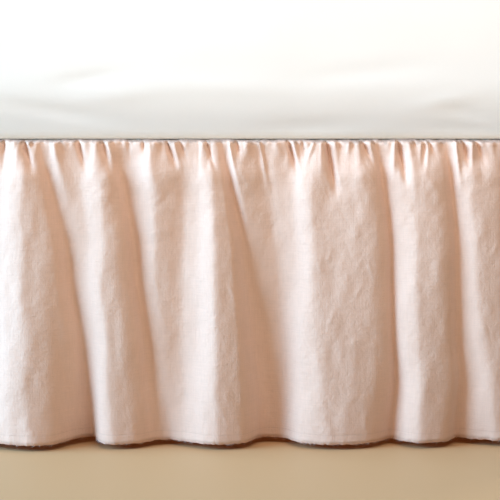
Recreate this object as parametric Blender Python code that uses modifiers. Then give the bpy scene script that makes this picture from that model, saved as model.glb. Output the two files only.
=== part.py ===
# A gathered bed skirt with split corners, on the bed that it hangs from.
#
# A flat deck lies on the bed's base, under the mattress. Three gathered panels are sewn to
# its edge, at the foot and at both sides, and hang to just above the floor. The head end
# is open. The foot of the bed faces -Y, and the whole part is centred over the origin.
#
# Lengths are in metres, except in the fold tables, which are in millimetres.

import math

import bmesh
import bpy
import numpy as np

MM = 0.001

# The bed: a twin size base on six legs, with a mattress of the same plan.
BED_WIDTH = 0.990
BED_LENGTH = 1.905
CORNER_RADIUS = 0.050
DECK_CORNER_RADIUS = 0.053  # a little rounder, so that the panels' flat facets clear it
BASE_HEIGHT = 0.229
BASE_INSET = 0.002
BASE_EDGE_RADIUS = 0.006
MATTRESS_HEIGHT = 0.280
MATTRESS_CORNER_RADIUS = 0.062

# The mattress narrows towards its underside, and its top edge is rounded.
TUCK_HEIGHT = 0.085
TUCK_INSET = 0.020
UNDER_RADIUS = 0.006
TOP_RADIUS = 0.045

# The legs taper towards the floor.
LEG_TOP_RADIUS = 0.028
LEG_FOOT_RADIUS = 0.020
LEG_SIDE_INSET = 0.085
LEG_END_INSET = 0.110

# The cloth: one thickness for the deck and the panels.
CLOTH = 0.002
GAP = 0.0003
DROP = 0.405
HEM_CLEARANCE = 0.009
SLIT = 0.003

# Below the seam the cloth swells out within PUFF_DROP. It is gathered evenly there: the
# folds start only partly open, about one distance from the base, and open further down.
SEAM_BAND = 0.004
PUFF_DROP = 0.018
GATHERED_OUT = 0.020
GATHERED_SHARE = 0.35
OPEN_DROP = 0.052

# The panels' grids.
FOOT_COLUMNS = 112
FOOT_ROWS = 10
SIDE_COLUMNS = 104
SIDE_ROWS = 8
ROW_CROWDING = 1.35

# How far the folds reach past the base, which sets the bed's place along Y.
FOOT_REACH = 0.067
HEAD_REACH = 0.007

# Heights, from the floor up.
DECK_TOP = HEM_CLEARANCE + DROP
BASE_TOP = DECK_TOP - CLOTH - GAP
LEG_HEIGHT = BASE_TOP - BASE_HEIGHT - GAP
MATTRESS_BOTTOM = DECK_TOP + GAP
BED_CENTRE_Y = (FOOT_REACH - HEAD_REACH) / 2

# The plan that the deck's edge follows, as lengths along it from the middle of the foot.
HALF_FOOT = BED_WIDTH / 2 - CORNER_RADIUS
CORNER_ARC = CORNER_RADIUS * math.pi / 2
SIDE_RUN = BED_LENGTH - 2 * CORNER_RADIUS
FOOT_END = HALF_FOOT + CORNER_ARC / 2 - SLIT / 2
SIDE_START = HALF_FOOT + CORNER_ARC / 2 + SLIT / 2
SIDE_END = HALF_FOOT + CORNER_ARC * 1.5 + SIDE_RUN

# Fold lines of the foot panel, from left to right, in millimetres. Each line runs from
# the seam to the hem. "along" is its place from the panel's middle, and "out" is how far
# the cloth stands off the base there, at the seam, half-way down and at the hem. "turn"
# is how softly the cloth turns at the line. "bend" is how much the slope to the line's
# right bulges, as a share of that slope's rise or fall; below 0 it hollows.
FOOT_FOLDS = (
    # along: seam, middle, hem    out: seam, middle, hem    turn    bend
    (-484, -484, -484, 12, 18, 26, 8, -0.10),  # the slit at the left corner
    (-424, -420, -416, 26, 40, 52, 9, 0.12),  # crest by the corner
    (-366, -378, -388, 8, 12, 14, 5, -0.10),  # valley
    (-326, -330, -340, 24, 40, 52, 8, 0.10),  # flank of the deepest lobe on the left
    (-294, -303, -294, 33, 52, 67, 5, 0.02),  # its crest
    (-288, -279, -265, 30, 49, 57, 8, 0.08),  # the flat beside the crest
    (-284, -258, -246, 22, 42, 26, 8, 0.14),  # the slope into the next valley
    (-279, -236, -212, 10, 17, 4, 4, -0.04),  # that valley, which leans to the right
    (-258, -221, -208, 24, 27, 20, 5, 0.00),  # a half fold that runs into the next lobe
    (-234, -208, -200, 19, 36, 40, 6, 0.08),  # flank of the next lobe
    (-194, -192, -179, 34, 49, 54, 5, 0.02),  # its crest
    (-190, -175, -156, 31, 47, 50, 8, 0.10),  # the flat beside the crest
    (-186, -160, -139, 20, 40, 36, 7, 0.12),  # the slope below it
    (-180, -149, -126, 10, 18, 26, 4, 0.00),  # valley that opens towards the hem
    (-168, -141, -112, 19, 20, 29, 5, 0.00),  # its far side
    (-134, -123, -104, 37, 31, 31, 6, 0.12),  # a half fold that dies out half-way down
    (-92, -92, -86, 25, 23, 34, 6, -0.06),  # the trough beside it
    (-70, -65, -62, 29, 39, 48, 7, 0.08),  # flank of the lobe left of the middle
    (-52, -48, -43, 34, 53, 55, 4, 0.02),  # its crest
    (-47, -23, -16, 31, 48, 48, 8, 0.18),  # the flat beside the crest
    (-39, -1, 12, 8, 19, 7, 4, 0.00),  # valley at the middle
    (-30, 12, 26, 35, 18, 6, 4, 0.12),  # a half fold at the seam, which turns into the valley's floor
    (16, 37, 45, 20, 18, 9, 4, -0.05),  # the valley's far side
    (28, 49, 59, 26, 22, 20, 5, 0.00),  # foot of the next flank
    (52, 62, 70, 22, 32, 37, 6, 0.14),  # flank of the deepest lobe on the right
    (86, 84, 102, 39, 49, 60, 7, 0.02),  # its crest
    (110, 113, 128, 31, 46, 58, 8, -0.12),  # a dip in its long right slope
    (149, 150, 155, 41, 46, 50, 10, 0.10),  # a half fold on that slope
    (168, 177, 176, 34, 39, 32, 8, 0.10),  # the steep slope below it
    (177, 190, 190, 12, 19, 9, 4, 0.00),  # narrow valley
    (186, 199, 209, 27, 34, 40, 5, 0.10),  # steep side of the next lobe
    (216, 225, 229, 39, 49, 48, 5, 0.02),  # its crest
    (240, 251, 250, 38, 45, 41, 8, 0.10),  # the flat beside the crest
    (255, 268, 264, 30, 38, 24, 7, 0.12),  # the slope below it
    (263, 280, 279, 8, 18, 6, 4, 0.00),  # valley
    (275, 297, 304, 24, 30, 20, 5, 0.05),  # flank of the last full lobe
    (291, 312, 334, 33, 42, 34, 7, 0.04),  # its crest, which leans to the right
    (322, 340, 358, 29, 38, 34, 8, 0.14),  # the flat beside the crest
    (352, 376, 396, 6, 12, 12, 6, -0.10),  # valley
    (400, 414, 428, 26, 40, 52, 9, 0.12),  # crest by the corner
    (484, 484, 484, 12, 18, 26, 8, 0.00),  # the slit at the right corner
)

# Folds of the side panels: the range of each size, in millimetres.
SIDE_FOLD_WIDTH = (104, 172)
SIDE_FOLD_OUT = (42, 66)
SIDE_VALLEY_OUT = (9, 22)
SIDE_END_FLAT = 14
LEAN = 26  # the folds lean to and fro by this much at the hem
LEAN_WAVE = 910  # and back to the first side after this length
GOLDEN = 0.618034
PLASTIC = 0.754878

COLOURS = {
    "linen": ((0.83, 0.64, 0.55, 1.0), 0.85),
    "deck_cloth": ((0.86, 0.83, 0.78, 1.0), 0.9),
    "base_cover": ((0.78, 0.76, 0.72, 1.0), 0.9),
    "mattress_cover": ((0.93, 0.93, 0.92, 1.0), 0.8),
    "leg_wood": ((0.45, 0.30, 0.19, 1.0), 0.5),
}


def clear_scene():
    for old in list(bpy.data.objects):
        bpy.data.objects.remove(old, do_unlink=True)


def make_material(name):
    colour, roughness = COLOURS[name]
    material = bpy.data.materials.new(name)
    material.use_nodes = True
    shader = material.node_tree.nodes["Principled BSDF"]
    shader.inputs["Base Color"].default_value = colour
    shader.inputs["Roughness"].default_value = roughness
    shader.inputs["Metallic"].default_value = 0.0
    material.diffuse_color = colour
    return material


def add_object(name, bm, material, collection):
    mesh = bpy.data.meshes.new(name)
    bm.to_mesh(mesh)
    bm.free()
    mesh.materials.append(material)
    obj = bpy.data.objects.new(name, mesh)
    collection.objects.link(obj)
    return obj


def shade(obj, angle):
    obj.data.shade_smooth()
    obj.data.set_sharp_from_angle(angle=math.radians(angle))


# ---------------------------------------------------------------- folds


def down_the_drop(values, v):
    """Quadratic through a line's values at the seam, half-way and the hem (v from 0 to 1)."""
    seam, middle, hem = (values[:, i : i + 1] for i in range(3))
    return (
        seam * (1 - v) * (1 - 2 * v)
        + middle * 4 * v * (1 - v)
        + hem * v * (2 * v - 1)
    )


def fold_out(lines, along, v):
    """How far the folds stand off the base.

    Between two lines the cloth follows a chord plus a parabola (its bend). Each line adds
    its change of slope times a rounded ramp (u + sqrt(u^2 + turn^2)) / 2, where u is the
    distance past the line, and each parabola is a difference of two half squares of u.
    """
    lines = np.array(lines, dtype=float)
    lines[:, :7] *= MM
    turn, bend = lines[:, 6], lines[:-1, 7:8]
    place = down_the_drop(lines[:, 0:3], v)
    out = down_the_drop(lines[:, 3:6], v)
    run = np.diff(place, axis=0)
    rise = np.diff(out, axis=0)
    curve = 4 * bend * np.abs(rise) / run
    level = np.zeros_like(run[:1])
    leaving = np.concatenate([rise / run + curve, level])
    arriving = np.concatenate([level, rise / run - curve])
    total = out[0] + np.zeros_like(along)
    for line in range(len(lines)):
        u = along - place[line]
        total += (leaving[line] - arriving[line]) * (u + np.sqrt(u**2 + turn[line] ** 2)) / 2
        if line < len(lines) - 1:
            past = along - place[line + 1]
            half_squares = (np.maximum(u, 0.0) ** 2 - np.maximum(past, 0.0) ** 2) / 2
            total -= 2 * curve[line] / run[line] * half_squares
    return total


def cloth_out(lines, along, v):
    """The folds below a band at the seam that lies flat against the deck's edge."""
    seat = GAP + CLOTH
    below = np.clip((v * DROP - SEAM_BAND) / PUFF_DROP, 0.0, 1.0)
    swell = np.sqrt(1.0 - (1.0 - below) ** 2)
    down = np.clip(v * DROP / OPEN_DROP, 0.0, 1.0)
    opened = GATHERED_SHARE + (1.0 - GATHERED_SHARE) * down * down * (3.0 - 2.0 * down)
    out = GATHERED_OUT + (fold_out(lines, along, v) - GATHERED_OUT) * opened
    return seat + (out - seat) * swell


def pick(limits, number, ratio):
    """A value inside limits that varies from fold to fold and is the same each run."""
    low, high = limits
    return low + (high - low) * ((number * ratio) % 1.0)


def side_folds(length, first):
    """Fold lines of a side panel that is length long, from its own middle."""
    half = length / MM / 2

    def line(place, seam, middle, hem, turn, bend):
        lean = LEAN * math.sin(math.tau * (place / LEAN_WAVE + first * GOLDEN))
        return (place, place + 0.4 * lean, place + lean, seam, middle, hem, turn, bend)

    lines = [(-half, -half, -half, 12, 18, 26, 8, -0.10)]
    start = -half + SIDE_END_FLAT
    number = first
    while start < half - 1.3 * SIDE_FOLD_WIDTH[1]:
        width = pick(SIDE_FOLD_WIDTH, number, GOLDEN)
        out = pick(SIDE_FOLD_OUT, number, PLASTIC)
        valley = pick(SIDE_VALLEY_OUT, number + 1, PLASTIC)
        lines.append(line(start + 0.26 * width, 19, 0.55 * out, 0.74 * out, 8, 0.10))
        lines.append(line(start + 0.44 * width, 30, 0.80 * out, out, 6, 0.02))
        lines.append(line(start + 0.60 * width, 25, 0.75 * out, 0.88 * out, 8, 0.12))
        if number % 3 == 1:
            lines.append(line(start + 0.78 * width, 17, 0.44 * out, 0.50 * out, 8, 0.00))
        lines.append(line(start + width, 6, 9, valley, 5, -0.08))
        start += width
        number += 1
    lines.append(line((start + half) / 2, 26, 38, 50, 9, 0.12))
    lines.append((half, half, half, 12, 18, 26, 8, 0.00))
    return lines


# ---------------------------------------------------------------- panels


def plan_point(along, out):
    """Place of a point that lies along the deck's edge and stands out from it."""
    side = np.sign(along)
    length = np.abs(along)
    foot_turn = np.clip((length - HALF_FOOT) / CORNER_RADIUS, 0.0, math.pi / 2)
    run = np.clip(length - HALF_FOOT - CORNER_ARC, 0.0, SIDE_RUN)
    past = length - HALF_FOOT - CORNER_ARC - SIDE_RUN
    turn = foot_turn + np.clip(past / CORNER_RADIUS, 0.0, math.pi / 2)
    radius = CORNER_RADIUS + out
    x = side * (np.minimum(length, HALF_FOOT) + radius * np.sin(turn))
    y = CORNER_RADIUS - BED_LENGTH / 2 + run - radius * np.cos(turn)
    return x, y + BED_CENTRE_Y


def make_panel(name, limits, grid, lines, material, collection):
    """A grid carried along the deck's edge, pushed out by its folds and given thickness."""
    columns, rows = grid
    bm = bmesh.new()
    bmesh.ops.create_grid(bm, x_segments=columns, y_segments=rows, size=0.5)
    panel = add_object(name, bm, material, collection)
    mesh = panel.data

    points = np.empty(len(mesh.vertices) * 3)
    mesh.vertices.foreach_get("co", points)
    points = points.reshape(-1, 3)
    across = points[:, 0] + 0.5
    row = np.rint((0.5 - points[:, 1]) * rows)
    # The second row is the seam line, and the rest crowd towards it.
    below = np.clip((row - 1) / (rows - 1), 0.0, 1.0) ** ROW_CROWDING
    v = np.where(row == 0, 0.0, (SEAM_BAND + (DROP - SEAM_BAND) * below) / DROP)

    start, end = limits
    middle = (start + end) / 2
    along = start + (end - start) * across
    out = cloth_out(lines, along - middle, v)
    points[:, 0], points[:, 1] = plan_point(along, out)
    points[:, 2] = DECK_TOP - DROP * v
    mesh.vertices.foreach_set("co", points.ravel())
    mesh.update()

    wall = panel.modifiers.new("cloth thickness", "SOLIDIFY")
    wall.thickness = CLOTH
    wall.offset = -1.0
    wall.use_even_offset = False
    shade(panel, 60)
    return panel


def make_panels(material, collection):
    side_length = SIDE_END - SIDE_START
    foot_grid = (FOOT_COLUMNS, FOOT_ROWS)
    side_grid = (SIDE_COLUMNS, SIDE_ROWS)
    foot_limits = (-FOOT_END, FOOT_END)
    right_limits = (SIDE_START, SIDE_END)
    left_limits = (-SIDE_END, -SIDE_START)
    right_lines = side_folds(side_length, 2)
    left_lines = side_folds(side_length, 9)
    make_panel("skirt_foot", foot_limits, foot_grid, FOOT_FOLDS, material, collection)
    make_panel("skirt_right", right_limits, side_grid, right_lines, material, collection)
    make_panel("skirt_left", left_limits, side_grid, left_lines, material, collection)


# ---------------------------------------------------------------- deck, base, legs, mattress


def make_slab(width, length, height, radius, segments):
    """A cube brought to size, with its four upright edges rounded; it stands on z = 0."""
    bm = bmesh.new()
    bmesh.ops.create_cube(bm, size=1.0)
    bmesh.ops.translate(bm, verts=bm.verts, vec=(0.0, 0.0, 0.5))
    bmesh.ops.scale(bm, verts=bm.verts, vec=(width, length, height))
    upright = [e for e in bm.edges if abs(e.verts[0].co.z - e.verts[1].co.z) > height / 2]
    bmesh.ops.bevel(
        bm, geom=upright, offset=radius, segments=segments, profile=0.5, affect="EDGES"
    )
    return bm


def make_deck(material, collection):
    bm = make_slab(BED_WIDTH, BED_LENGTH, CLOTH, DECK_CORNER_RADIUS, 6)
    deck = add_object("deck", bm, material, collection)
    deck.location = (0.0, BED_CENTRE_Y, DECK_TOP - CLOTH)


def make_base(material, collection):
    width = BED_WIDTH - 2 * BASE_INSET
    length = BED_LENGTH - 2 * BASE_INSET
    bm = make_slab(width, length, BASE_HEIGHT, CORNER_RADIUS - BASE_INSET, 6)
    base = add_object("bed_base", bm, material, collection)
    base.location = (0.0, BED_CENTRE_Y, BASE_TOP - BASE_HEIGHT)
    rim = base.modifiers.new("rounded rims", "BEVEL")
    rim.width = BASE_EDGE_RADIUS
    rim.segments = 2
    rim.limit_method = "ANGLE"
    rim.angle_limit = math.radians(40)
    shade(base, 40)


def make_legs(material, collection):
    side = BED_WIDTH / 2 - LEG_SIDE_INSET
    end = BED_LENGTH / 2 - LEG_END_INSET
    for row_name, y in (("foot", -end), ("middle", 0.0), ("head", end)):
        for side_name, x in (("left", -side), ("right", side)):
            bm = bmesh.new()
            bmesh.ops.create_cone(
                bm,
                cap_ends=True,
                segments=20,
                radius1=LEG_FOOT_RADIUS,
                radius2=LEG_TOP_RADIUS,
                depth=LEG_HEIGHT,
            )
            leg = add_object(f"leg_{row_name}_{side_name}", bm, material, collection)
            leg.location = (x, y + BED_CENTRE_Y, LEG_HEIGHT / 2)
            shade(leg, 40)


def quarter_round(distance, radius):
    """Inset of a rounded edge at a distance from the face that it runs into."""
    t = np.clip(1.0 - distance / radius, 0.0, 1.0)
    return radius * (1.0 - np.sqrt(1.0 - t**2))


def mattress_inset(z):
    """How far the mattress's side lies inside its plan, at height z above its underside."""
    tuck = TUCK_INSET * np.clip(1.0 - z / TUCK_HEIGHT, 0.0, 1.0) ** 2
    return tuck + quarter_round(z, UNDER_RADIUS) + quarter_round(MATTRESS_HEIGHT - z, TOP_RADIUS)


def make_mattress(material, collection):
    bm = make_slab(BED_WIDTH, BED_LENGTH, MATTRESS_HEIGHT, MATTRESS_CORNER_RADIUS, 5)
    rim = [UNDER_RADIUS * part for part in (0.08, 0.4, 1.0)]
    tuck = [TUCK_HEIGHT * part for part in (0.22, 0.45, 0.7, 1.0)]
    top = [MATTRESS_HEIGHT - TOP_RADIUS * part for part in (1.0, 0.62, 0.3, 0.08)]
    for height in rim + tuck + top:
        everything = bm.verts[:] + bm.edges[:] + bm.faces[:]
        bmesh.ops.bisect_plane(
            bm, geom=everything, plane_co=(0.0, 0.0, height), plane_no=(0.0, 0.0, 1.0)
        )
    core_x = BED_WIDTH / 2 - MATTRESS_CORNER_RADIUS
    core_y = BED_LENGTH / 2 - MATTRESS_CORNER_RADIUS
    for vert in bm.verts:
        core = (min(max(vert.co.x, -core_x), core_x), min(max(vert.co.y, -core_y), core_y))
        reach = math.hypot(vert.co.x - core[0], vert.co.y - core[1])
        scale = 1.0 - float(mattress_inset(vert.co.z)) / reach
        vert.co.x = core[0] + (vert.co.x - core[0]) * scale
        vert.co.y = core[1] + (vert.co.y - core[1]) * scale
    mattress = add_object("mattress", bm, material, collection)
    mattress.location = (0.0, BED_CENTRE_Y, MATTRESS_BOTTOM)
    shade(mattress, 50)


def main():
    clear_scene()
    collection = bpy.data.collections.new("bed_skirt_on_bed")
    bpy.context.scene.collection.children.link(collection)
    materials = {name: make_material(name) for name in COLOURS}
    make_legs(materials["leg_wood"], collection)
    make_base(materials["base_cover"], collection)
    make_deck(materials["deck_cloth"], collection)
    make_mattress(materials["mattress_cover"], collection)
    make_panels(materials["linen"], collection)


main()
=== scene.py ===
import bpy
import math
import numpy as np
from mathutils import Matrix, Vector


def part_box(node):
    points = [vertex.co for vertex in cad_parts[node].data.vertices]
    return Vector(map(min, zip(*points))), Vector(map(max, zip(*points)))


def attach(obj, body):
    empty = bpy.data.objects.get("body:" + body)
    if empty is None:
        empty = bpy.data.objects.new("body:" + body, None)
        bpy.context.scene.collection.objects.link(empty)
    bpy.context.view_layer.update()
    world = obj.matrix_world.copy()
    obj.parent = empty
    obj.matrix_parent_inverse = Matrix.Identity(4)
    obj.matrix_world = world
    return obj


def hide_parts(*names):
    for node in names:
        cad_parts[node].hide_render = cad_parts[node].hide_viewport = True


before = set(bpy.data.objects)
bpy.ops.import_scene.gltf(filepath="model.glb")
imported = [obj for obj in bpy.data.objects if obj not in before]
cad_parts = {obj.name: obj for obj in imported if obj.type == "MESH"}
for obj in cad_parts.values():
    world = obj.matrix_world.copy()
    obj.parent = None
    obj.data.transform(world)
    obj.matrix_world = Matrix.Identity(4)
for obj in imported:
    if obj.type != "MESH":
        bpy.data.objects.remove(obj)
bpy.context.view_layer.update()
print("frame loaded:", len(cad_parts), "solids")

mm = 0.001

# the bed's plan and heights, read from the solids
deckLow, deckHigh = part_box("deck")
baseLow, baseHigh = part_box("bed_base")
mattressLow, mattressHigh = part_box("mattress")
footLow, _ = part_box("skirt_foot")

bed = {
    "width": deckHigh[0] - deckLow[0],
    "length": deckHigh[1] - deckLow[1],
    "centreY": (deckHigh[1] + deckLow[1]) / 2,
    "cornerRadius": 0.050,   # plan radius that the skirt's seam follows
    "seamHeight": deckHigh[2],
    "hemHeight": footLow[2],
}
bed["drop"] = bed["seamHeight"] - bed["hemHeight"]

halfFoot = bed["width"] / 2 - bed["cornerRadius"]
cornerArc = bed["cornerRadius"] * math.pi / 2
sideRun = bed["length"] - 2 * bed["cornerRadius"]


def toLinear(hexColour):
    # "#rrggbb" in sRGB to linear light, by the sRGB curve
    parts = [int(hexColour[i:i + 2], 16) / 255 for i in (1, 3, 5)]
    linear = [c / 12.92 if c <= 0.04045 else ((c + 0.055) / 1.055) ** 2.4 for c in parts]
    return (*linear, 1.0)


# the lens stands a little above the seam and looks slightly down at the foot of the bed
view = {"lens": 101.1, "sensor": 36.0, "distance": 1.9, "height": 0.4544, "pitch": 5.69}

cameraData = bpy.data.cameras.new("camera")
cameraData.lens = view["lens"]
cameraData.sensor_width = view["sensor"]
camera = bpy.data.objects.new("camera", cameraData)
camera.location = (0.0, deckLow[1] - view["distance"], view["height"])
camera.rotation_euler = (math.radians(90 - view["pitch"]), 0.0, 0.0)
bpy.context.scene.collection.objects.link(camera)
bpy.context.scene.camera = camera
bpy.context.scene.view_settings.view_transform = "Standard"

# a broad cool window light from the left rakes across the folds; the pale warm room fills
# the shadows, and a small overhead light brightens the mattress
studio = {
    "keyPlace": (-6.60, -2.62, 2.8),
    "keySize": (5.9, 2.7),
    "keyWatts": 1600.0,
    "keyColour": "#abdaff",
    "curtain": 0.50,   # the left panel faces the window squarely, so it gets this share of it
    "curtainColour": "#e9f5ff",
    "topPlace": (0.1, -1.60, 1.15),
    "topSize": (1.6, 0.4),
    "topWatts": 10.4,
    "topColour": "#fff1e2",
    "glowPlace": (0.0, -0.80, 0.07),   # under the bed, the warm light that the cloth lets through
    "glowSize": (0.9, 0.04),
    "glowWatts": 0.09,
    "glowColour": "#ff9450",
    "backPlace": (3.6, 3.9, 2.4),    # behind on the right, so that those sides aren't dark
    "backSize": (3.0, 2.0),
    "backWatts": 240.0,
    "world": 0.056,
    "worldColour": "#fff6e7",
}


def areaLight(name, place, aim, size, watts, colour):
    data = bpy.data.lights.new(name, "AREA")
    data.shape = "RECTANGLE"
    data.size, data.size_y = size
    data.energy = watts
    data.color = toLinear(colour)[:3]
    lamp = bpy.data.objects.new(name, data)
    lamp.location = place
    lamp.rotation_euler = (Vector(aim) - Vector(place)).to_track_quat("-Z", "Y").to_euler()
    lamp.visible_camera = False
    bpy.context.scene.collection.objects.link(lamp)
    return lamp


footAim = (0.0, deckLow[1], 0.25)
mattressAim = (0.0, deckLow[1] + 0.1, 0.65)
glowAim = (0.0, -1.06, 0.0)
roomAim = (0.0, bed["centreY"], 0.3)
windowLight = areaLight("window light", studio["keyPlace"], footAim, studio["keySize"],
                        studio["keyWatts"], studio["keyColour"])
curtainLight = areaLight("curtained window light", studio["keyPlace"], footAim, studio["keySize"],
                         studio["keyWatts"] * studio["curtain"], studio["curtainColour"])
areaLight("overhead light", studio["topPlace"], mattressAim, studio["topSize"],
          studio["topWatts"], studio["topColour"])
areaLight("glow under the bed", studio["glowPlace"], glowAim, studio["glowSize"],
          studio["glowWatts"], studio["glowColour"])
areaLight("room light", studio["backPlace"], roomAim, studio["backSize"],
          studio["backWatts"], studio["worldColour"])

world = bpy.data.worlds.new("studio room")
world.use_nodes = True
background = world.node_tree.nodes["Background"]
background.inputs["Color"].default_value = toLinear(studio["worldColour"])
background.inputs["Strength"].default_value = studio["world"]
bpy.context.scene.world = world
print("camera and lights placed")


def addNode(tree, kind, settings=None, links=None):
    # one node with its settings (attribute names, or input names and numbers) and its links
    node = tree.nodes.new(kind)
    for key, value in (settings or {}).items():
        if isinstance(key, str) and hasattr(node, key):
            setattr(node, key, value)
        else:
            node.inputs[key].default_value = value
    for key, source in (links or {}).items():
        tree.links.new(source, node.inputs[key])
    return node


def newMaterial(name, baseHex, roughness, settings=None):
    material = bpy.data.materials.new(name)
    material.use_nodes = True
    shader = material.node_tree.nodes["Principled BSDF"]
    shader.inputs["Base Color"].default_value = toLinear(baseHex)
    shader.inputs["Roughness"].default_value = roughness
    for key, value in (settings or {}).items():
        shader.inputs[key].default_value = value
    return material, material.node_tree, shader


def pieceNoise(tree, scale, detail):
    # noise that is fixed to the piece, its scale in cells a metre
    place = addNode(tree, "ShaderNodeTexCoord")
    return addNode(tree, "ShaderNodeTexNoise", {"Scale": scale, "Detail": detail},
                   {"Vector": place.outputs["Object"]})


def tintBy(tree, shader, hexColour, factor):
    # the base colour is one colour times a factor
    colour = addNode(tree, "ShaderNodeVectorMath", {"operation": "SCALE", 0: toLinear(hexColour)[:3]},
                     {"Scale": factor})
    tree.links.new(colour.outputs["Vector"], shader.inputs["Base Color"])


def raiseBy(tree, shader, strength, distance, height):
    # the surface is shaded as if it stood out by a height
    bump = addNode(tree, "ShaderNodeBump", {"Strength": strength, "Distance": distance}, {"Height": height})
    tree.links.new(bump.outputs["Normal"], shader.inputs["Normal"])


# a plain matt floor in a light tan
floorLook = {"colour": "#c09b72", "half": 7.0}
floorMaterial, _, _ = newMaterial("matt tan floor", floorLook["colour"], 0.6)
floorHalf = floorLook["half"]
floorMesh = bpy.data.meshes.new("floor")
floorMesh.from_pydata([(-floorHalf, -floorHalf, 0), (floorHalf, -floorHalf, 0),
                       (floorHalf, floorHalf, 0), (-floorHalf, floorHalf, 0)], [], [(0, 1, 2, 3)])
floorMesh.materials.append(floorMaterial)
floor = bpy.data.objects.new("floor", floorMesh)
bpy.context.scene.collection.objects.link(floor)


def latticeNoise(x, y, seed):
    # smooth noise from -1 to 1: random values on a square lattice, eased between neighbours
    size = 128
    values = np.random.default_rng(seed).uniform(-1.0, 1.0, (size, size))
    xCell, yCell = np.floor(x).astype(int), np.floor(y).astype(int)
    xPart, yPart = x - xCell, y - yCell
    xEase = xPart * xPart * (3 - 2 * xPart)
    yEase = yPart * yPart * (3 - 2 * yPart)
    x0, x1, y0, y1 = xCell % size, (xCell + 1) % size, yCell % size, (yCell + 1) % size
    low = values[x0, y0] * (1 - xEase) + values[x1, y0] * xEase
    high = values[x0, y1] * (1 - xEase) + values[x1, y1] * xEase
    return low * (1 - yEase) + high * yEase


def linkPiece(name, mesh, material, node):
    # one smooth shaded piece that rides on the bed and stands for a solid
    mesh.shade_smooth()
    mesh.materials.append(material)
    piece = bpy.data.objects.new(name, mesh)
    bpy.context.scene.collection.objects.link(piece)
    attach(piece, "root")
    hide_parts(node)
    return piece


def gridMesh(name, points, uv):
    # a mesh from a (rows, columns, 3) array of points; row 0 is the top seen from outside
    rows, columns = points.shape[:2]
    index = np.arange(rows * columns).reshape(rows, columns)
    quads = np.stack([index[:-1, :-1], index[1:, :-1], index[1:, 1:], index[:-1, 1:]], axis=-1)
    corner = quads.reshape(-1).astype(np.int32)
    count = len(corner) // 4
    mesh = bpy.data.meshes.new(name)
    mesh.vertices.add(rows * columns)
    mesh.vertices.foreach_set("co", points.reshape(-1).astype(np.float32))
    mesh.loops.add(len(corner))
    mesh.loops.foreach_set("vertex_index", corner)
    mesh.polygons.add(count)
    mesh.polygons.foreach_set("loop_start", np.arange(count, dtype=np.int32) * 4)
    mesh.update(calc_edges=True)
    mesh.validate()
    layer = mesh.uv_layers.new(name="cloth")
    layer.data.foreach_set("uv", uv.reshape(-1, 2)[corner].reshape(-1).astype(np.float32))
    return mesh


def ringMesh(name, rings):
    # a closed skin over (rings, places, 3) points that run anticlockwise, from the underside's
    # middle up to the top's middle; each end is closed by a fan to one point
    count, places = rings.shape[:2]
    index = np.arange(count * places).reshape(count, places)
    onward = np.roll(index, -1, axis=1)
    quads = np.stack([index[:-1], onward[:-1], onward[1:], index[1:]], axis=-1).reshape(-1, 4)
    lowPole, highPole = count * places, count * places + 1
    lowFan = [(int(b), int(a), lowPole) for a, b in zip(index[0], onward[0])]
    highFan = [(int(a), int(b), highPole) for a, b in zip(index[-1], onward[-1])]
    points = np.concatenate([rings.reshape(-1, 3), rings[[0, -1]].mean(axis=1)])
    mesh = bpy.data.meshes.new(name)
    mesh.from_pydata(points.tolist(), [], quads.tolist() + lowFan + highFan)
    mesh.update()
    return mesh


def planPoint(along, out):
    # a point that lies along the seam's rounded rectangle and stands out from it by its normal
    side, length = np.sign(along), np.abs(along)
    radius = bed["cornerRadius"]
    turn = np.clip((length - halfFoot) / radius, 0, math.pi / 2)
    turn = turn + np.clip((length - halfFoot - cornerArc - sideRun) / radius, 0, math.pi / 2)
    run = np.clip(length - halfFoot - cornerArc, 0, sideRun)
    x = side * (np.minimum(length, halfFoot) + (radius + out) * np.sin(turn))
    y = deckLow[1] + radius + run - (radius + out) * np.cos(turn)
    return x, y


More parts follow.
